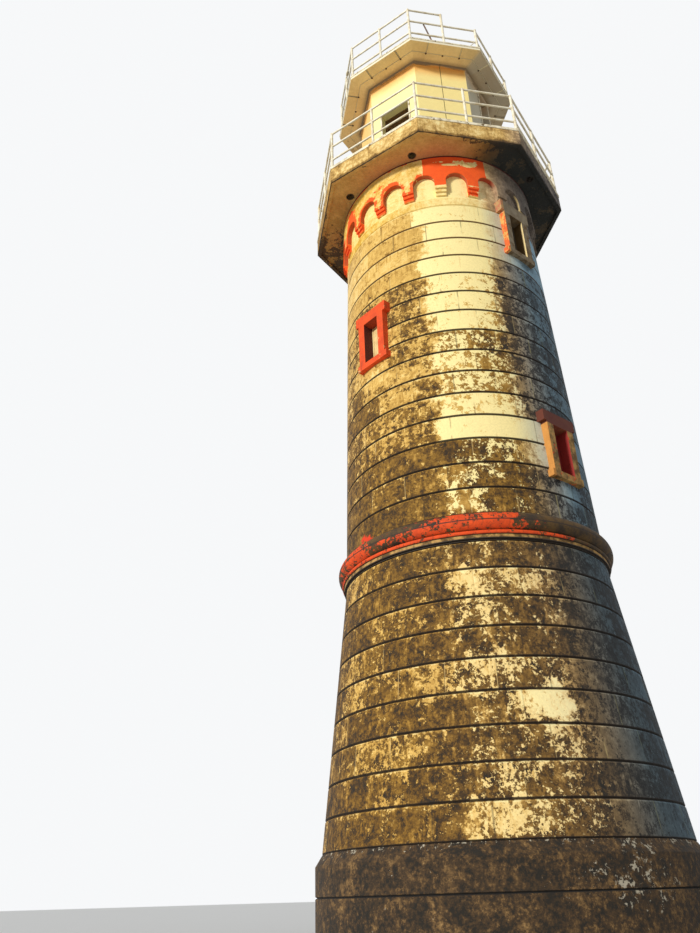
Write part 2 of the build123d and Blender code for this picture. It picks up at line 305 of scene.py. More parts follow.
# grain and pits of stone, plaster and concrete
def makeGrain():
    point, scale = newGroup("stoneGrain", Point=None, Scale=40.0)
    fine = noise(point, scale, 6, 0.7)
    pits = put("TexVoronoi", "Distance", {"Vector": point, "Scale": scale * 0.8})
    return closeGroup(Tone=fine, Height=step(pits, 0.0, 0.35) * 0.25 + fine)


# mottling of weathered stone, about zero: broad stains and fine specks
def makeMottling():
    point, size, stain, speckle = newGroup("mottling", Point=None, Size=0.3, Stain=1.0, Speckle=0.9)
    broad = noise(point, 1.0 / size, 7, 0.66, 0.25)
    fine = noise(point, 15.0, 7, 0.78)
    return closeGroup(Value=(fine - 0.5) * speckle + (broad - 0.5) * stain)


# colour of weathered stone from black grime at 0 to clean plaster at 1
weather = [(.08, "1b1406"), (.24, "432c05"), (.36, "68480d"), (.50, "8c661f"), (.62, "b3883a"), (.74, "dab05a"),
           (.84, "f0d084"), (.95, "fbe69e")]


def makeWeathered():
    level, strength = newGroup("weatheredStone", Level=0.5, Strength=1.0)
    shades = ramp(level, [(at, paint(shade)) for at, shade in weather])
    return closeGroup(Color=put("HueSaturation", 0, {"Color": shades, "Saturation": strength}))


towerPlace, raggedPatches, rainRuns, stoneCourses, stoneGrain, mottling, weatheredStone = (
    makeTowerPlace(), makePatches(), makeRuns(), makeCourses(), makeGrain(), makeMottling(), makeWeathered())


def patches(point, size, cover, speckle=0.8, edge=0.02):
    return useGroup(raggedPatches, Point=point, Size=size, Cover=cover, Speckle=speckle, Edge=edge)["Mask"]


def runs(point, width, length, cover, edge=0.12):
    return useGroup(rainRuns, Point=point, Width=width, Length=length, Cover=cover, Edge=edge)["Mask"]


def mottled(point, size, stain, speckle):
    return useGroup(mottling, Point=point, Size=size, Stain=stain, Speckle=speckle)["Value"]


def weathered(level, strength):
    return useGroup(weatheredStone, Level=level, Strength=strength)["Color"]


# oval region round a point of the shaft: azimuth and height, then its half sizes
def spot(azimuth, height, at, size):
    across, up = (azimuth - at[0]) / size[0], (height - at[1]) / size[1]
    return step(across * across + up * up, 1.8, 0.1)


# a value that goes through given stops over a range
def profile(value, low, high, stops, interpolation="LINEAR"):
    scaled = put("MapRange", 0, {"Value": value, "From Min": low, "From Max": high})
    shares = [((at - low) / (high - low), (level, level, level)) for at, level in stops]
    return put("SeparateColor", 0, {0: ramp(scaled, shares, interpolation)})


# the same all round the tower, back to the first level
def around(azimuth, stops):
    return profile(azimuth, -180, 180, [*stops, (180, stops[0][1])])


# a finish in the making: its place on the tower, its grain and its colour so far
class Skin:
    def __init__(self, name, roughness, grain=None, metallic=0.0):
        self.material, self.shader = newMaterial(name, roughness, metallic)
        self.point, self.azimuth, self.height, self.radius, self.off, self.along = useGroup(towerPlace).values()
        if grain:
            self.grain, self.rough = useGroup(stoneGrain, Point=self.point, Scale=grain).values()

    def lay(self, mask, colour, kind="MIX"):
        self.body = blend(mask, self.body, colour, kind)

    def shade(self, depth, base):
        level = self.grain * depth + base
        self.lay(1.0, put("CombineColor", 0, {0: level, 1: level, 2: level}), "MULTIPLY")

    def finish(self, height, distance, strength):
        feed(self.shader["Base Color"], self.body)
        feed(self.shader["Normal"], put("Bump", 0, {"Height": height, "Distance": distance, "Strength": strength}))
        return self.material


# left, middle, right: how clean each course is, from the foot up, left of the first border,
# between the borders and right of the second, the right ones also darker as painted shade of the shaded side;
# borders: azimuth and softness; tones and base: plaster and bare stone across the borders; spots: place, half
# sizes and how much cleaner; strength: saturation round the tower, lower towards azimuth 90 as painted shade
walls = {
    "lowerStone": {
        "foot": 0.96, "course": 0.38, "blocks": 22.0, "radius": 2.1, "size": .15, "speckle": 1.15,
        "left": [.38, .40, .41, .39, .40, .37, .40, .38, .39],
        "middle": [.46, .42, .40, .40, .44, .39, .41, .46, .42],
        "right": [.32, .27, .32, .28, .32, .29, .29, .26, .26],
        "borders": ((16, 5), (54, 5)), "tones": (.70, .84, .46), "base": (.28, .24, .17),
        "lip": .14, "blockSpread": .26, "veil": .26, "drips": .14,
        "strength": [(-180, .8), (-70, .7), (-42, .95), (-24, 1), (0, 1), (40, .95), (52, .88),
                     (60, .75), (68, .5), (76, .28), (90, .1)],
        "spots": [((43, 2.33), (7, .22), .60), ((31, 2.73), (7, .18), .20), ((8, 2.66), (8, .18), .12),
                  ((23, 3.86), (8, .2), .38), ((44, 3.82), (4, .16), .16), ((32, 3.46), (5, .18), .05),
                  ((47, 1.93), (6, .2), .14), ((-3, 1.9), (8, .18), .08),
                  ((28, 1.56), (4, .18), .16), ((32, 1.20), (8, .2), .16), ((18, 1.2), (6, .18), .14),
                  # the darker oval low at azimuth -44 is painted shadow
                  ((24, 4.24), (8, .14), .14), ((-44, 2.7), (12, 1.9), -.07), ((-43, 4.2), (9, .2), -.12)]},
    "upperStone": {
        "foot": 4.76, "course": 0.383, "blocks": 19.0, "radius": 1.8, "size": .15, "speckle": .75,
        "left": [.35, .38, .41, .42, .46, .45, .50, .54, .55, .57, .56, .61, .68, .72, .73],
        "middle": [.44, .46, .53, .94, .84, .78, .76, .74, .88, .92, .92, 1.0, 1.0, 1.0, 1.0],
        "right": [.34, .40, .48, .60, .36, .40, .36, .33, .33, .37, .35, .40, .74, .84, .88],
        "borders": ((17, 3), (54, 3)), "tones": (.71, 1.0, .60), "base": (.32, .25, .18),
        "lip": .05, "blockSpread": .14, "veil": .14, "drips": .16,
        "strength": [(-180, .8), (-60, .75), (-40, .95), (-18, 1), (50, 1), (58, .8), (64, .55),
                     (72, .3), (78, .15), (90, .1)],
        "spots": [((-13, 7.35), (9, .2), .22), ((46, 7.62), (10, .22), -.22), ((24, 4.95), (8, .2), .34),
                  ((19, 5.34), (7, .2), .22), ((30, 5.36), (9, .2), .16), ((62, 5.72), (5, .22), .34),
                  ((5, 6.6), (15, 1.1), .07), ((-26, 7.25), (9, .2), -.12), ((-35, 6.7), (10, 1.1), -.05),
                  ((51, 8.8), (6, .25), -.16), ((53, 8.1), (6, .45), -.10),
                  ((-22, 8.4), (7, .2), -.14), ((63, 6.1), (9, .22), .34),
                  ((49, 7.0), (8, .6), -.06), ((77, 5.2), (5, .2), .3), ((81, 10.0), (8, .55), -.45)]},
}

# both shafts: how far stains wander (by block, in degrees, in metres), colours of mortar and of bed
# joints with their painted shade, bluish painted shade on the shaded side round the tower, red that ran on to the
# foot of the upper shaft
stone = {"roughness": 0.9, "grain": 38.0, "wander": (5.0, 30.0, 0.9), "mortar": ("2a2011", "dcbc7a"),
         "grime": ("21170c", "5f3f16"), "grimeHeights": (8.8, 9.8), "dampTint": (0.30, 0.50, 0.66),
         "damp": ((-180, 0), (50, 0), (62, .45), (76, 1), (96, 1), (150, 0)),
         "backBorder": (166.0, 150.0), "spill": ((-24, 4.80), (7, 0.14), "d83a14")}


def makeWall(name):
    look = walls[name]
    skin = Skin(name, stone["roughness"], stone["grain"])
    courses = useGroup(stoneCourses, Azimuth=skin.azimuth, Height=skin.height, Foot=look["foot"],
                       Course=look["course"], Blocks=look["blocks"], Radius=look["radius"])
    row, below = courses["Row"], courses["Below"]
    # each course has stains of its own
    point = put("VectorMath", 0, {0: skin.point, 1: combine(row * 2.37, row * 1.13)}, operation="ADD")
    blockTone = courses["Tone"] - 0.5
    blockTurn, turn, rise = stone["wander"]
    ragged = skin.azimuth + blockTone * blockTurn + (noise(point, 3.4, 8, 0.74) - 0.5) * turn
    raggedHeight = skin.height + (noise(point, 4.3, 8, 0.74) - 0.5) * rise
    behind = step(ragged, *stone["backBorder"])
    shares = [behind * step(ragged, border - soft, border + soft) for border, soft in look["borders"]]

    def acrossBorders(values):
        value = values[0]
        for share, following in zip(shares, values[1:]):
            value = value + share * (following - value)
        return value

    level = acrossBorders([profile(row + 0.5, 0, len(look[side]), list(enumerate(look[side])), "CONSTANT")
                           for side in ("left", "middle", "right")])
    for at, size, amount in look["spots"]:
        level = spot(ragged, raggedHeight, at, size) * amount + level
    lip = step(below, 0.08, 0.03) * look["lip"] * step(noise(skin.point, 8.0, 5, 0.65), 0.42, 0.60)
    level = level + lip + blockTone * look["blockSpread"]
    tone = larger(acrossBorders(look["tones"]), level + 0.05)
    plastered = step(level, 0.56, 0.70)
    base = larger(acrossBorders(look["base"]), level - (plastered * (1.0 - shares[0]) * -0.18 + 0.28))
    plaster = patches(point, look["size"], (level - base) / (tone - base), look["speckle"])
    calm = plastered * -0.6 + 1.0  # clean courses are evener
    stains = mottled(point, 0.2, 0.55, 1.0) * calm
    lichen = patches(skin.point, 0.17, 0.5, 1.1, 0.05)
    veil = runs(point, 0.08, 0.5, 0.62, 0.22) * step(noise(point, 2.6, 5), 0.44, 0.60)
    drips = runs(point, 0.028, 0.5, 0.5, 0.2) * step(below, 0.36, 0.04)
    bare = (base + (level - base) * 0.3 + stains + veil * look["veil"] + drips * -0.07
            + (0.45 - lichen) * calm * 0.15)
    clean = tone + stains * acrossBorders((0.75, 0.4, 0.6)) + drips * -look["drips"] + veil * -0.05
    # the ledge adds a painted highlight under each bed joint
    level = bare + plaster * (clean - bare) + courses["Ledge"] * 0.13
    skin.body = weathered(level, around(skin.azimuth, look["strength"]))
    mortar = courses["Joint"] * step(noise(skin.point, 2.6, 4), 0.42, 0.56)
    skin.lay(mortar * 0.5, blend(calc("GREATER_THAN", courses["Tone"], 0.6), *stone["mortar"]))
    skin.shade(0.5, 0.75)
    # bluish painted shade on the shaded side of the tower
    skin.lay(around(skin.azimuth, stone["damp"]), stone["dampTint"], "MULTIPLY")
    # bed lines: grime and painted shade under each course
    skin.lay(courses["Bed"] * 0.92, blend(step(skin.height, *stone["grimeHeights"]), *stone["grime"]))
    if name == "upperStone":
        at, size, red = stone["spill"]
        spill = spot(skin.azimuth, skin.height, at, size)
        skin.lay(patches(skin.point, 0.12, spill * 1.1 - 0.5, 0.4), red)
    return skin.finish(level * 0.6 + skin.rough * 0.5, 0.008, 0.6)


paints = {"red": "ec500a", "deepRed": "bc3a08", "maroon": "561a0c", "crimson": "861b1c", "pink": "98261c",
          "cream": "f0d493", "tan": "bd9350", "ochre": "cf8a3a", "grey": "8d8068", "bare": "5b4115",
          "dark": "2a1c08"}


# worn red paint over stone; wear is a number or a signal
def redPaint(skin, wear, size, stones=("bare", "dark"), faded=0.0):
    clouds = step(noise(skin.point, 7.0, 7, 0.7), 0.36, 0.64)
    paleStone, darkStone = (paints[name] for name in stones)
    fresh = blend(faded, blend(clouds * 0.6, paints["red"], paints["deepRed"]), paleStone)
    lost = patches(skin.point, size, wear, 0.75)
    return blend(lost, fresh, blend(clouds, paleStone, darkStone)), lost


# heights and softness of the borders of roll, crown, bead and fillet; wear: azimuth and share of paint
# lost; lines: dark lines where they meet, joints with painted shade in the creases; underside: painted shade
# under the fillet
stringCourse = {
    "roll": (4.51, 0.01), "crown": (4.63, 0.003), "bead": (4.451, 0.003), "fillet": (4.412, 0.004),
    "rollWear": ((-180, .9), (-60, .80), (-44, .58), (-32, .34), (-24, .28), (-15, .66), (-4, .56),
                 (8, .40), (18, .28), (40, .34), (49, .76), (58, .98), (120, 1)),
    "crownWear": ((-180, .2), (-44, .06), (-24, .10), (-14, .34), (8, .40), (17, .06), (42, .04), (49, .24)),
    "beadWear": ((-180, .9), (-60, .5), (-30, .30), (0, .26), (44, .22), (54, .30), (66, .5), (80, .9)),
    "lines": ((4.503, 4.514, 0.003), (4.449, 4.457, 0.002), (4.620, 4.636, 0.004)),
    "underside": "2a2014", "line": "24180d", "dirt": "3a2410"}


def makeStringCourse():
    look = stringCourse
    skin = Skin("stringCoursePaint", 0.8, 45.0)
    height, azimuth = skin.height, skin.azimuth
    onRoll, onCrown = above(height, *look["roll"]), above(height, *look["crown"])
    wear = (onRoll * around(azimuth, look["rollWear"]) + (1.0 - onRoll) * around(azimuth, look["beadWear"])
            + around(azimuth, look["crownWear"]) * onCrown)
    skin.body, lost = redPaint(skin, wear, 0.10)
    clouds = step(noise(skin.point, 5.0, 7, 0.7), 0.42, 0.58)
    skin.lay(under(height, *look["bead"]), blend(clouds, paints["bare"], paints["tan"]))
    # painted shade under the fillet
    skin.lay(under(height, *look["fillet"]), look["underside"])
    # dark lines where the mouldings meet: joints with painted shade in the creases
    first, second, third = (between(height, *line) for line in look["lines"])
    skin.lay(larger(larger(first, second), third) * 0.9, look["line"])
    skin.lay(runs(skin.point, 0.05, 0.3, 0.46, 0.2) * 0.6, look["dirt"])
    skin.shade(0.6, 0.66)
    return skin.finish(lost * -0.4 + skin.rough * 0.5, 0.005, 0.7)


# backRadius: distance of the niches' backs from the axis at the foot; lean: how much it loses for each
# metre; corbels: their heights; panel: the well kept part of the face; redSpots, holes and chalk: place
# and half sizes of paint that stayed and of paint that is gone
arcade = {
    "foot": 10.505, "backRadius": 1.7145, "lean": 0.0262, "width": 0.37, "springing": 11.03, "axis": 75.3,
    "pitch": 18.0, "face": (0.078, 0.086), "back": (0.010, 0.004), "corbels": (10.73, 10.90),
    "panel": (21.6, 57.0), "redSpots": (((-4, 11.28), (10, 0.13)), ((-31, 11.33), (8, 0.2))),
    "holes": (((44.5, 11.46), (7.5, 0.075)), ((37, 11.42), (5, 0.03))), "chalk": ((30.5, 11.5), (3.5, 0.025)),
    "tone": ((-180, .6), (-50, .75), (10, .79), (20, .80), (23, .88), (52, .88), (58, .62), (70, .44),
             (84, .34)),
    "strength": ((-180, .8), (-30, 1.1), (50, 1.0), (58, .8), (72, .5), (90, .3)),
    "red": ("f75c10", "dc4408"), "reveal": "b43616", "chip": "3b2614", "topLine": "5a1c10"}


def makeArcade():
    look = arcade
    skin = Skin("arcadePlaster", 0.88, 42.0)
    azimuth, height = skin.azimuth, skin.height
    wander = (noise(skin.point, 6.0, 7, 0.72) - 0.5) * 16.0
    ragged, raggedHeight = azimuth + wander, wander * 0.025 + height
    depth = skin.radius - ((height - look["foot"]) * -look["lean"] + look["backRadius"])
    face, niche = step(depth, *look["face"]), step(depth, *look["back"])
    reveal = 1.0 - larger(face, niche)
    # distance from the rim of the nearest niche, along the face
    turned = (azimuth + (720.0 - look["axis"] + look["pitch"] / 2)) % look["pitch"] - look["pitch"] / 2
    across = abs(turned) * skin.radius * (pi / 180)
    rim = length(across, larger(height - look["springing"], 0.0)) - look["width"] / 2
    corbel = between(height, *look["corbels"], 0.008)
    leftSide = larger(step(azimuth, 22.0, 20.5), step(azimuth, 150.0, 156.0))
    cover = between(azimuth, *look["panel"], 0.5) * step(height, 10.89, 10.93) * 1.60
    cover = cover + leftSide * step(rim, 0.115, 0.035) * 0.86 + leftSide * corbel * 0.66
    cover = cover + between(azimuth, -90.0, -26.0, 18.0) * 0.36
    for at, size in look["redSpots"]:
        cover = cover + leftSide * spot(ragged, raggedHeight, at, size) * 0.8
    cover = cover + leftSide * step(height, 11.56, 11.61) * 0.75 + between(azimuth, -74.0, -53.0, 3.0) * 0.9
    cover = cover + corbel * between(azimuth, 40.0, 57.0, 2.0) * 1.05
    cover = cover + between(azimuth, 56.5, 66.0, 1.5) * step(rim, 0.06, 0.02) * 0.5 - 0.30
    large, small = look["holes"]
    holes = larger(spot(ragged, raggedHeight, *large), spot(azimuth, height, *small))
    cover = cover - holes * 1.5 - spot(azimuth, height, *look["chalk"]) * 0.9
    red = larger(face, corbel * (1.0 - niche)) * step(height, 10.715, 10.73) * patches(skin.point, 0.13, cover, 0.5)
    inside = reveal * step(height, 10.90, 10.91) * step(azimuth, 64.0, 60.0) * patches(skin.point, 0.2, 0.98, 0.5)
    streaks = runs(skin.point, 0.045, 0.6, 0.4, 0.15)
    level = around(azimuth, look["tone"]) + mottled(skin.point, 0.22, 0.4, 0.6) + streaks * -0.07 + niche * 0.10
    skin.body = weathered(level, around(azimuth, look["strength"]))
    clouds = step(noise(skin.point, 6.0, 6, 0.7), 0.36, 0.66)
    skin.lay(red, blend(clouds * 0.4, *look["red"]))
    skin.lay(inside * 0.9, look["reveal"])
    skin.lay(reveal * step(depth, 0.045, 0.055) * between(azimuth, 79.0, 84.0, 1.0), paints["cream"])
    skin.lay(patches(skin.point, 0.05, -0.14, 0.5) * 0.85, look["chip"])
    # dark line right under the slab: painted shadow of the slab
    skin.lay(step(height, 11.614, 11.626), look["topLine"])
    skin.shade(0.4, 0.80)
    return skin.finish(red * 0.3 + skin.rough * 0.5, 0.005, 0.7)


# axis: azimuth; front, side, far: how worn the paint is on the front, the left side and the far jamb;
# under: colours below it; opening: heights; inside: colour of the reveals and of the lit right one;
# lintel: colour over its front; lit: radius from which the far reveal is lit; gone: share of red faded
surrounds = {
    "left": {"axis": -14, "front": .10, "side": .2, "far": .1, "under": ("cream", "tan"), "opening": (7.76, 8.51),
             "inside": ("maroon", "deepRed"), "lintel": ("red", .0)},
    "right_low": {"axis": 73, "front": .80, "side": 1.02, "far": .92, "under": ("tan", "bare"),
                  "opening": (5.49, 6.24), "inside": ("crimson", "pink"), "lintel": ("maroon", .95)},
    "right_high": {"axis": 73, "front": 1.2, "side": .50, "far": 1.2, "under": ("grey", "bare"),
                   "opening": (9.67, 10.47), "inside": ("bare", "cream"), "lintel": ("grey", .5), "lit": 1.797,
                   "gone": .25},
    "back": {"axis": 166, "front": .45, "side": .4, "far": .4, "under": ("tan", "bare"), "opening": (7.76, 8.51),
             "inside": ("maroon", "deepRed"), "lintel": ("red", .2)},
    "rear_low": {"axis": 253, "front": .6, "side": .5, "far": .5, "under": ("ochre", "bare"),
                 "opening": (5.49, 6.24), "inside": ("crimson", "pink"), "lintel": ("maroon", .5)},
    "rear_high": {"axis": 253, "front": .9, "side": .6, "far": .9, "under": ("cream", "grey"),
                  "opening": (9.67, 10.47), "inside": ("bare", "grey"), "lintel": ("grey", .4)}}

# left side, far jamb and reveals, from the window's axis; sides: share and colour of the paint left on
# the left side, and the colour where it is lost
jambs = {"outside": (-0.268, -0.276), "far": (0.152, 0.154), "reveal": (0.1515, 0.1505),
         "farReveal": (0.149, 0.151), "dirt": "4a3018"}
sides = {"low": (0.85, "d8803a", paints["ochre"]), "right_high": (0.8, "e8641c", "efae52")}


# place along the wall from the axis of a window
def alongWindow(point, axis):
    x, y, _ = xyz(point)
    return x * cos(radians(axis)) + y * sin(radians(axis))


def makeSurround(name):
    look = {"lit": 0.0, "gone": 0.0, **surrounds[name]}
    foot, head = look["opening"]
    reveal, litReveal = (paints[colour] for colour in look["inside"])
    skin = Skin("surround_" + name, 0.8, 55.0)
    along = alongWindow(skin.point, look["axis"])
    outside = step(along, *jambs["outside"])
    wear = (look["front"] + outside * (look["side"] - look["front"])
            + step(along, *jambs["far"]) * (look["far"] - look["front"]))
    skin.body, lost = redPaint(skin, wear, 0.12, look["under"], look["gone"])
    for ending, (share, kept, below) in sides.items():
        if name.endswith(ending):
            skin.lay(outside * share, blend(lost, kept, below))
    colour, share = look["lintel"]
    skin.lay(above(skin.height, head, 0.002) * share, paints[colour])
    skin.lay(runs(skin.point, 0.03, 0.3, 0.45, 0.2) * 0.35, jambs["dirt"])
    opening = between(skin.height, foot, head, 0.001)
    skin.lay(opening * step(abs(along), *jambs["reveal"]), reveal)
    lit = above(skin.radius, look["lit"], 0.004)
    skin.lay(opening * between(along, *jambs["farReveal"], 0.0005), blend(lit, reveal, litReveal))
    skin.shade(0.5, 0.74)
    return skin.finish(lost * -0.4 + skin.rough * 0.4, 0.004, 0.7)


# holes: azimuth and distance from the axis of the holes in the underside; tone, strength: of the edge;
# soffit: tone of the underside, falling towards the shaded right as painted shade; flakes: share of it that is dark,
# round the tower
slab = {
    "holes": ((17, 1.88), (-26, 1.89), (87, 1.99), (197, 1.88), (154, 1.89), (267, 1.99)),
    "holeRadius": 0.055, "soffitHeight": 11.66, "groove": (2.168, 2.183), "deck": (11.970, 11.973),
    "tone": ((-180, .52), (-70, .52), (-22, .68), (22, .74), (40, .74), (62, .64), (72, .46), (110, .36)),
    "strength": ((-180, .8), (-30, .95), (60, .95), (74, .5), (110, .3)),
    "soffit": ((-180, .44), (-60, .58), (-20, .68), (20, .70), (44, .66), (58, .42), (80, .30)),
    "flakes": ((-180, .5), (-64, .62), (-44, .24), (-30, -.10), (40, -.10), (52, .34), (66, .66), (90, .7)),
    "glow": "d4744a", "cool": "3d3c34", "dark": ("33291d", "1d2220"), "holeEdge": "2a1f13",
    "inHole": "17100a", "grooveColour": "2d2417", "deckColour": "8f8672"}


def makeConcrete():
    look = slab
    skin = Skin("galleryConcrete", 0.92, 34.0)
    azimuth, height, off = skin.azimuth, skin.height, skin.off
    stains = mottled(skin.point, 0.3, 0.9, 0.9)
    drips = runs(skin.point, 0.06, 0.5, 0.5, 0.2)
    wander = (noise(skin.point, 7.0, 7, 0.72) - 0.5) * 0.16
    low = step(height + wander, 11.71, 11.655)
    level = around(azimuth, look["tone"]) + stains + drips * -0.10 + low * -0.26
    edge = weathered(level, around(azimuth, look["strength"]))
    # the soffit darkens towards the shaded right: painted shade
    soffit = weathered(around(azimuth, look["soffit"]) + stains * 0.3, 0.95)
    # warm red near the wall: painted reflection of the red arcade, with red paint left on the soffit
    glow = step(skin.radius, 2.25, 1.75) * between(azimuth, -16.0, 46.0, 14.0)
    soffit = blend(glow * 0.6, soffit, look["glow"])
    # cool dark tint on the shaded right of the soffit: painted shade
    cool = step(azimuth, 48.0, 66.0)
    soffit = blend(cool * 0.7, soffit, look["cool"])
    flakes = patches(skin.point, 0.26, around(azimuth, look["flakes"]) + step(off, 2.04, 2.16) * 0.22, 0.5)
    soffit = blend(flakes * 0.85, soffit, blend(cool, *look["dark"]))
    x, y, _ = xyz(skin.point)
    near = 9.0  # distance from the nearest hole
    for at in look["holes"]:
        middle = outwards(*at)
        near = calc("MINIMUM", near, length(x - middle.x, y - middle.y))
    soffit = blend(step(wander * 0.5 + near, 0.085, 0.060), soffit, look["holeEdge"])
    inner, outer = look["groove"]
    skin.body = blend(under(height, look["soffitHeight"], 0.004) * under(off, inner, 0.004), edge, soffit)
    groove = step(height, 11.640, 11.632) * above(off, inner, 0.004) * under(off, outer, 0.003)
    skin.lay(groove * 0.8, look["grooveColour"])
    # near black inside the drain holes: painted shade
    skin.lay(under(near, look["holeRadius"], 0.0005) * step(height, 11.95, 11.94), look["inHole"])
    skin.lay(step(height, *look["deck"]), look["deckColour"])
    skin.shade(0.5, 0.76)
    return skin.finish(stains * 1.2 + skin.rough, 0.012, 0.8)


# joint: height of the one between the two courses; low: place and half sizes of the pale foot
plinth = {"tone": 0.19, "warm": 0.13, "edge": (0.84, 0.95), "low": ((58, 0.6), (16, 0.3)), "joint": 0.5,
          "flake": "bdb39b", "jointColour": "17130d"}


def makePlinth():
    skin = Skin("plinthStone", 0.93, 36.0)
    warm = patches(skin.point, 0.34, 0.34, 1.3, 0.06)
    skin.body = weathered(plinth["tone"] + warm * plinth["warm"] + mottled(skin.point, 0.3, 0.8, 1.2), 0.85)
    edge = step(skin.height, *plinth["edge"]) * 0.34
    low = spot(skin.azimuth, skin.height, *plinth["low"]) * 0.36
    flakes = patches(skin.point, 0.12, edge + low - 0.06, 0.85)
    skin.lay(flakes * 0.85, plinth["flake"])
    skin.lay(step(abs(skin.height - plinth["joint"]), 0.012, 0.006), plinth["jointColour"])
    skin.shade(0.7, 0.62)
    return skin.finish(flakes * 0.4 + skin.rough, 0.008, 0.8)


# painted panels of the room, its cornice and the platform sheets; band: painted reflection and shade under
# the soffit; cornice: painted shade and dirt in the corner under it; left, front: painted light on those walls;
# inside: lighter inside faces as painted light; strip: painted highlight on seams in shade
panels = {"wall": "ffe898", "front": "fff0a4", "band": "f2a03a", "shade": "b9b6ae", "inside": "dcbf90",
          "cornice": "8c7350", "sheet": "ffdd98", "shadedSheet": "c4b496", "seam": "4f3a20", "strip": "ecdcae",
          "edge": "efe4c4", "grime": "8b7350", "left": "e9b25e", "darkSheet": "b08544", "rust": "9a6534",
          "deck": "a79b84"}

# distances from the axis of the room's inner and outer face, place of the seams along a side, and of the
# one round the room from the axis; front, shaded: azimuths of the front wall and of the shaded ones
room = {"inner": 1.14, "face": 1.2565, "seam": 0.34, "ring": 1.49, "front": (-22.7, 22.3), "shaded": (67.5, 157.5),
        # band heights and share: warm band at the top of the walls, painted reflection from the soffit and painted
        # shade under it; cornice heights: painted shade and dirt where the walls meet the soffit
        "bandHeights": (14.48, 14.92), "corniceHeights": (14.895, 14.925),
        "band": ((-180, .3), (-24, .6), (-21, .85), (22, .85), (23, .9), (67, .9), (68, .2))}


def makeRoomPaint():
    skin = Skin("roomPaint", 0.7, 60.0)
    azimuth, height = skin.azimuth, skin.height
    stains = mottled(skin.point, 0.4, 0.8, 0.5)
    # the front walls' whiter cream is painted light
    skin.body = blend(between(azimuth, *room["front"], 0.3), panels["wall"], panels["front"])
    skin.lay(between(azimuth, *room["shaded"], 0.3) * 0.75, panels["shade"])
    # golden tint on the left walls: painted warm light
    left = larger(step(azimuth, -22.2, -22.8), step(azimuth, 157.2, 157.8))
    skin.lay(left * 0.5, panels["left"])
    skin.lay(runs(skin.point, 0.05, 1.4, 0.22) * 0.18, panels["grime"])
    fade = (noise(skin.point, 3.0, 5) - 0.5) * 0.12 + height
    # warm band under the soffit: painted reflection and shade
    skin.lay(step(fade, *room["bandHeights"]) * around(azimuth, room["band"]), panels["band"])
    # dark line where the walls meet the soffit: painted shade and dirt
    skin.lay(step(height + stains * 0.1, *room["corniceHeights"]), panels["cornice"])
    seam = step(abs(skin.along), 0.009, 0.005) * step(azimuth, 22.6, 23.0) * step(azimuth, 158.0, 157.0)
    skin.lay(seam * 0.75, panels["seam"])
    skin.lay(patches(skin.point, 0.15, -0.12) * 0.6, panels["grime"])
    # lighter inside faces: painted light where little light reaches
    skin.lay(step(skin.off, room["inner"] + 0.002, room["inner"] - 0.001), panels["inside"])
    skin.shade(0.2, stains * 0.25 + 0.88)
    return skin.finish(skin.rough, 0.002, 0.5)


# shaded and rust: how much of each, round the tower; edge, deck: heights from which they begin
sheets = {"shaded": ((-180, .4), (-110, .3), (-60, .1), (66, 0), (69, .9), (112, 1)),
          "rust": ((-180, .1), (-80, .40), (-58, .2), (-40, .0), (-20, -.25), (60, -.25), (100, .0), (110, .3)),
          "edge": (14.951, 14.953), "deck": (15.006, 15.008)}


def makeSheet():
    skin = Skin("platformSheet", 0.75, 50.0)
    azimuth, along, off = skin.azimuth, abs(skin.along), skin.off
    # each sheet has its own tone
    cell = (calc("FLOOR", (azimuth + 202.5) / 45.0) * 3.0 + calc("GREATER_THAN", skin.along, -room["seam"])
            + calc("GREATER_THAN", skin.along, room["seam"]))
    white = put("TexWhiteNoise", "Value", {"W": cell}, noise_dimensions="1D")
    skin.body = blend(around(azimuth, sheets["shaded"]), panels["sheet"], panels["shadedSheet"])
    skin.lay(0.02 + mottled(skin.point, 0.3, 0.6, 0.5) * -1.0 + white * 0.2, panels["darkSheet"])
    radial = step(abs(along - room["seam"]), 0.016, 0.010) * step(off, room["ring"] - 0.006, room["ring"] + 0.002)
    ring = step(abs(off - room["ring"]), 0.012, 0.007)
    faint = between(azimuth, 22.5, 67.5, 0.5) * -0.5 + 0.9
    skin.lay(larger(radial * faint, ring * 0.3), panels["seam"])
    # pale seams on the shaded side: painted highlight
    skin.lay(radial * between(azimuth, 67.5, 112.5, 0.4), panels["strip"])
    # darker soffit beside the walls: painted shade and dirt in the corner
    skin.lay(step(off, room["face"] + 0.14, room["face"] + 0.03) * 0.6, panels["cornice"])
    # lighter inside of the ceiling: painted light where little light reaches
    skin.lay(step(off, room["inner"] + 0.03, room["inner"] + 0.01), panels["inside"])
    skin.lay(patches(skin.point, 0.2, around(azimuth, sheets["rust"]), 0.6) * 0.5, panels["rust"])
    skin.lay(step(skin.height, *sheets["edge"]), panels["edge"])
    skin.lay(step(skin.height, *sheets["deck"]), panels["deck"])
    skin.shade(0.3, 0.84)
    return skin.finish(skin.rough, 0.002, 0.5)


# white paint with dirt and rust; used on kerbs and on steel
coats = {
    "kerbPaint": {"paint": "f0e6c8", "dirt": "a78b58", "rust": "6f5a38", "cover": .30, "size": .12,
                  "roughness": 0.8, "metallic": 0.0, "bump": 0.004},
    "railPaint": {"paint": "f3ead0", "dirt": "cbb27c", "rust": "7a4526", "cover": .17, "size": .07,
                  "roughness": 0.42, "metallic": 0.0, "bump": 0.0012},
    "rustySteel": {"paint": "5b4433", "dirt": "3a2c22", "rust": "7a4526", "cover": .5, "size": .02,
                   "roughness": 0.7, "metallic": 0.35, "bump": 0.001}}
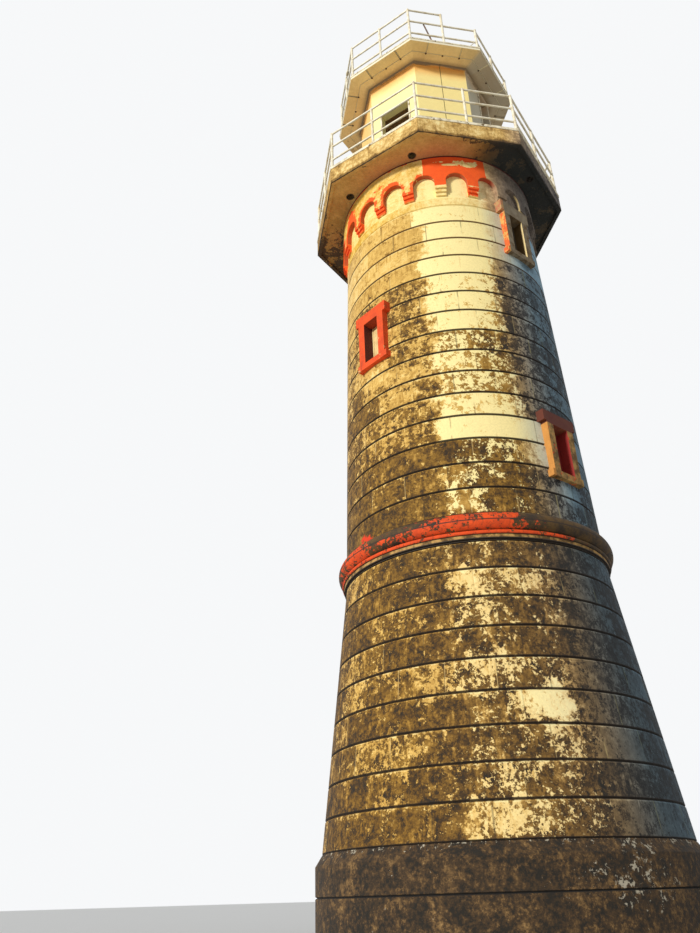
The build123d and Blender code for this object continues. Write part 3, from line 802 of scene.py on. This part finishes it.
# the loose bar inside the platform railing, bare and rusty: azimuths, height, distance and place along the side
looseBar = {"side": (22.5, 67.5), "foot": 15.031, "off": 1.631, "along": (-0.40, -0.19),
            "colours": ("7a5230", "4b3320")}


def makeCoat(name):
    look = coats[name]
    skin = Skin(name, look["roughness"], 80.0, look["metallic"])
    clouds = step(noise(skin.point, 9.0, 4, 0.6), 0.40, 0.68)
    skin.body = blend(clouds * 0.6, look["paint"], look["dirt"])
    rust = patches(skin.point, look["size"], look["cover"], 0.35, 0.04)
    skin.lay(rust, look["rust"])
    if name == "railPaint":
        bar = between(skin.azimuth, *looseBar["side"], 0.2) * above(skin.height, looseBar["foot"], 0.001)
        bar = bar * under(skin.off, looseBar["off"], 0.0001) * between(skin.along, *looseBar["along"], 0.004)
        skin.lay(bar, blend(clouds, *looseBar["colours"]))
    feed(skin.shader["Roughness"], rust * 0.3 + look["roughness"])
    skin.shade(0.3, 0.84)
    return skin.finish(rust * -0.5 + skin.rough * 0.5, look["bump"], 0.6)


# boards of the left window, seam between them, and the dark ones in the other windows, low and high
shutters = {"axis": -14, "boards": ("edd08e", "c19654"), "worn": "a8763f", "seam": "5a3a1c", "split": 7.005,
            "side": (-40.0, 30.0), "dark": ("4b3f2e", paints["crimson"]), "grime": "2c1a14"}


def makeShutterWood():
    skin = Skin("shutterWood", 0.75)
    fibres = runs(skin.point, 0.010, 0.45, 0.5, 0.4)
    clouds = step(noise(skin.point, 6.0, 4, 0.6), 0.36, 0.66)
    skin.body = blend(fibres, *shutters["boards"])
    skin.lay(clouds * 0.4, shutters["worn"])
    skin.lay(step(abs(alongWindow(skin.point, shutters["axis"])), 0.007, 0.004) * 0.8, shutters["seam"])
    dark = blend(under(skin.height, shutters["split"], 0.005), *shutters["dark"])
    dark = blend(fibres * 0.4, dark, shutters["grime"])
    skin.lay(1.0 - between(skin.azimuth, *shutters["side"], 1.0), dark)
    return skin.finish(fibres, 0.002, 0.5)


finishes = {name: makeWall(name) for name in walls}
finishes.update({name: makeCoat(name) for name in coats})
finishes.update({"string": makeStringCourse(), "arcade": makeArcade(), "concrete": makeConcrete(),
                 "plinth": makePlinth(), "room": makeRoomPaint(), "sheet": makeSheet(), "shutter": makeShutterWood()})
finishes.update({name: makeSurround(name) for name in surrounds})
print("materials ready:", len(finishes))

# start of the pieces' names, and the finish that they get
dressing = [("plinth", "plinth"), ("lower_wall", "lowerStone"), ("wall_over", "lowerStone"),
            ("upper_wall", "upperStone"), ("string", "string"), ("arcade", "arcade"), ("gallery_slab", "concrete"),
            ("gallery_edge", "kerbPaint"), ("platform_edge", "kerbPaint"), ("room_", "room"),
            ("platform_slab", "sheet"), ("gallery_rail", "railPaint"), ("platform_rail", "railPaint"),
            ("window_shutters", "shutter")] + [("window_surround_" + name, name) for name in surrounds]
for prefix, finish in dressing:
    for name, piece in nodes.items():
        if name.startswith(prefix):
            for slot in piece.material_slots:
                slot.material = finishes[finish]


def finishPiece(name, bm, finish, smooth=True):
    bmesh.ops.recalc_face_normals(bm, faces=bm.faces)
    for face in bm.faces:
        face.smooth = smooth
    piece = newObject(name, bm, finishes[finish])
    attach(piece, "root")


# upright disc with a rounded upper edge, standing at a place
def addDisc(bm, place, radius, height, segments=20, rounded=0.3, turned=None):
    made = bmesh.ops.create_cone(bm, cap_ends=True, segments=segments, radius1=radius, radius2=radius, depth=height)
    upper = [edge for edge in {e for v in made["verts"] for e in v.link_edges}
             if all(v.co.z > 0 for v in edge.verts)]
    made = made["verts"]
    if rounded:
        new = bmesh.ops.bevel(bm, geom=upper, offset=height * rounded, offset_type="OFFSET", affect="EDGES",
                              segments=2, profile=0.5, material=-1)
        made = list({v for v in made if v.is_valid} | set(new["verts"]))
    bmesh.ops.translate(bm, verts=made, vec=(0, 0, height / 2))
    if turned is not None:
        bmesh.ops.transform(bm, verts=made, matrix=turned)
    bmesh.ops.translate(bm, verts=made, vec=place)
    return made


# corner: distance of the corner posts from the axis; foot: radius of the base plates; open: azimuths
# of the posts without a top rail
railings = {"gallery": {"corner": 2.325, "level": 12.029, "height": 0.94, "foot": 0.040, "open": ()},
            "platform": {"corner": 1.785, "level": 15.039, "height": 1.00, "foot": 0.050,
                         "open": (67.5, 90, 112.5)}}
# shares: heights of the lower rails as shares of the post's; railHalf: from a rail's middle to its weld
fittings = {"plate": 0.010, "bolt": 0.0065, "boltHeight": 0.007, "boltShare": 0.8375, "weld": 0.0275,
            "weldHeight": 0.016, "shares": (0.235, 0.617), "railHalf": 0.022, "topRail": 0.018}


def railPosts(name):
    look = railings[name]
    for i in range(8):
        for azimuth, radius in ((45 * i - 22.5, look["corner"]), (45 * i, look["corner"] * cos(pi / 8))):
            yield azimuth, outwards(azimuth, radius, look["level"])


# base plates with bolts under the posts, and weld beads where rails meet them
def makeFittings(name):
    look = railings[name]
    plates, bolts, welds = bmesh.new(), bmesh.new(), bmesh.new()
    for azimuth, foot in railPosts(name):
        addDisc(plates, foot, look["foot"], fittings["plate"])
        for k in range(4):
            offset = outwards(azimuth + 45 + 90 * k, fittings["boltShare"] * look["foot"])
            addDisc(bolts, foot + offset + Vector((0, 0, fittings["plate"])), fittings["bolt"],
                    fittings["boltHeight"], segments=6)
        joints = [(look["height"] * share, side) for share in fittings["shares"] for side in (-1, 1)]
        if azimuth not in look["open"]:
            joints.append((look["height"] - fittings["topRail"], -1))
        for height, side in joints:
            rise = height - fittings["weldHeight"] / 2 + side * fittings["railHalf"]
            addDisc(welds, foot + Vector((0, 0, rise)), fittings["weld"], fittings["weldHeight"], segments=16,
                    rounded=0.4)
    finishPiece(name + "PostPlates", plates, "railPaint")
    finishPiece(name + "PostBolts", bolts, "rustySteel", smooth=False)
    finishPiece(name + "RailWelds", welds, "railPaint")


for name in railings:
    makeFittings(name)
print("railing fittings ready")

# bolts that hold the sheets under the platform: along the inner ring, by the seams and mid sides
sheetBolts = {"ring": 1.475, "seam": 0.34, "soffit": 14.949, "washer": 0.018, "washerHeight": 0.004,
              "head": 0.011, "headHeight": 0.012}


def makeSheetBolts():
    bm = bmesh.new()
    flip = Matrix.Rotation(pi, 4, "X")
    for i in range(8):
        along = outwards(45 * i + 90)
        for shift in (-sheetBolts["seam"], 0, sheetBolts["seam"]):
            place = outwards(45 * i, sheetBolts["ring"], sheetBolts["soffit"]) + along * shift
            washer = sheetBolts["washerHeight"]
            addDisc(bm, place, sheetBolts["washer"], washer, segments=16, turned=flip)
            addDisc(bm, place - Vector((0, 0, washer)), sheetBolts["head"], sheetBolts["headHeight"], segments=6,
                    turned=flip)
    finishPiece("platformSheetBolts", bm, "rustySteel", smooth=False)


makeSheetBolts()

# sleeve round the top rail of the platform, beside the mid post of its left front side
railSleeve = {"azimuth": -45, "along": 0.13, "apothem": 1.785 * cos(pi / 8), "height": 16.008,
              "size": (0.075, 0.030, 0.030)}


def makeRailSleeve():
    bm = bmesh.new()
    made = bmesh.ops.create_uvsphere(bm, u_segments=24, v_segments=16, radius=1)["verts"]
    bmesh.ops.scale(bm, verts=made, vec=railSleeve["size"])
    bmesh.ops.translate(bm, verts=made, vec=(railSleeve["along"], -railSleeve["apothem"], railSleeve["height"]))
    bmesh.ops.rotate(bm, verts=made, cent=(0, 0, 0), matrix=Matrix.Rotation(radians(railSleeve["azimuth"]), 3, "Z"))
    finishPiece("platformRailSleeve", bm, "kerbPaint")


makeRailSleeve()

# broken lower edge of the gallery slab: a crumbled strip under its rim; grain: lumps for each metre;
# inwards, up: how far it has crumbled
rimCrust = {"corner": 2.352, "width": 0.060, "top": 11.640, "depth": 0.030, "cuts": 70, "grain": 7.0,
            "octaves": 4, "inwards": 0.008, "up": (0.010, 0.013)}


def makeRimCrust():
    bm = bmesh.new()
    outer, inner = rimCrust["corner"], rimCrust["corner"] - rimCrust["width"] / cos(pi / 8)
    rings = [[bm.verts.new(outwards(45 * i - 22.5, corner, rimCrust["top"])) for i in range(8)]
             for corner in (outer, inner)]
    faces = [bm.faces.new((rings[0][i], rings[0][(i + 1) % 8], rings[1][(i + 1) % 8], rings[1][i]))
             for i in range(8)]
    made = bmesh.ops.extrude_face_region(bm, geom=faces)
    lower = [v for v in made["geom"] if isinstance(v, bmesh.types.BMVert)]
    bmesh.ops.translate(bm, verts=lower, vec=(0, 0, -rimCrust["depth"]))
    bmesh.ops.recalc_face_normals(bm, faces=bm.faces)
    longEdges = [edge for edge in bm.edges if edge.calc_length() > 0.5]
    bmesh.ops.subdivide_edges(bm, edges=longEdges, cuts=rimCrust["cuts"], use_grid_fill=True)
    lift, spread = rimCrust["up"]
    for vert in bm.verts:
        rough = field.fractal(vert.co * rimCrust["grain"], 1.0, 2.0, rimCrust["octaves"])
        if vert.co.z < rimCrust["top"] - rimCrust["depth"] / 3:
            vert.co -= Vector((vert.co.x, vert.co.y, 0)).normalized() * abs(rimCrust["inwards"] * rough)
            vert.co.z += lift + spread * rough
    finishPiece("slabRimCrust", bm, "concrete", smooth=False)


makeRimCrust()
print("bolts and slab edge ready")

# thin frames round the doorways of the room: left and right edge, head, and whether it has a lintel
doorFrames = {"apothem": 1.36 * cos(pi / 8), "foot": 11.974, "wide": 0.036, "proud": 0.014, "rounding": 0.003,
              "doors": {0: (-0.30, 0.30, 13.94, True), 90: (0.04, 0.44, 14.905, False)}}


def makeDoorFrames():
    bm = bmesh.new()
    for azimuth, (left, right, head, lintel) in doorFrames["doors"].items():
        w, foot = doorFrames["wide"], doorFrames["foot"]
        top = head + w if lintel else head
        for low, high in (((left - w, foot), (left, top)), ((right, foot), (right + w, top)),
                          ((left, head), (right, top))):
            if high[1] == low[1]:
                continue
            made = bmesh.ops.create_cube(bm, size=1)["verts"]
            bmesh.ops.scale(bm, verts=made, vec=(high[0] - low[0], doorFrames["proud"], high[1] - low[1]))
            bmesh.ops.translate(bm, verts=made, vec=((low[0] + high[0]) / 2,
                                -doorFrames["apothem"] - doorFrames["proud"] / 2, (low[1] + high[1]) / 2))
            bmesh.ops.rotate(bm, verts=made, cent=(0, 0, 0), matrix=Matrix.Rotation(radians(azimuth), 3, "Z"))
    bmesh.ops.bevel(bm, geom=list(bm.edges), offset=doorFrames["rounding"], offset_type="OFFSET",
                    affect="EDGES", segments=2, profile=0.5, material=-1)
    finishPiece("roomDoorFrames", bm, "kerbPaint", smooth=False)


makeDoorFrames()
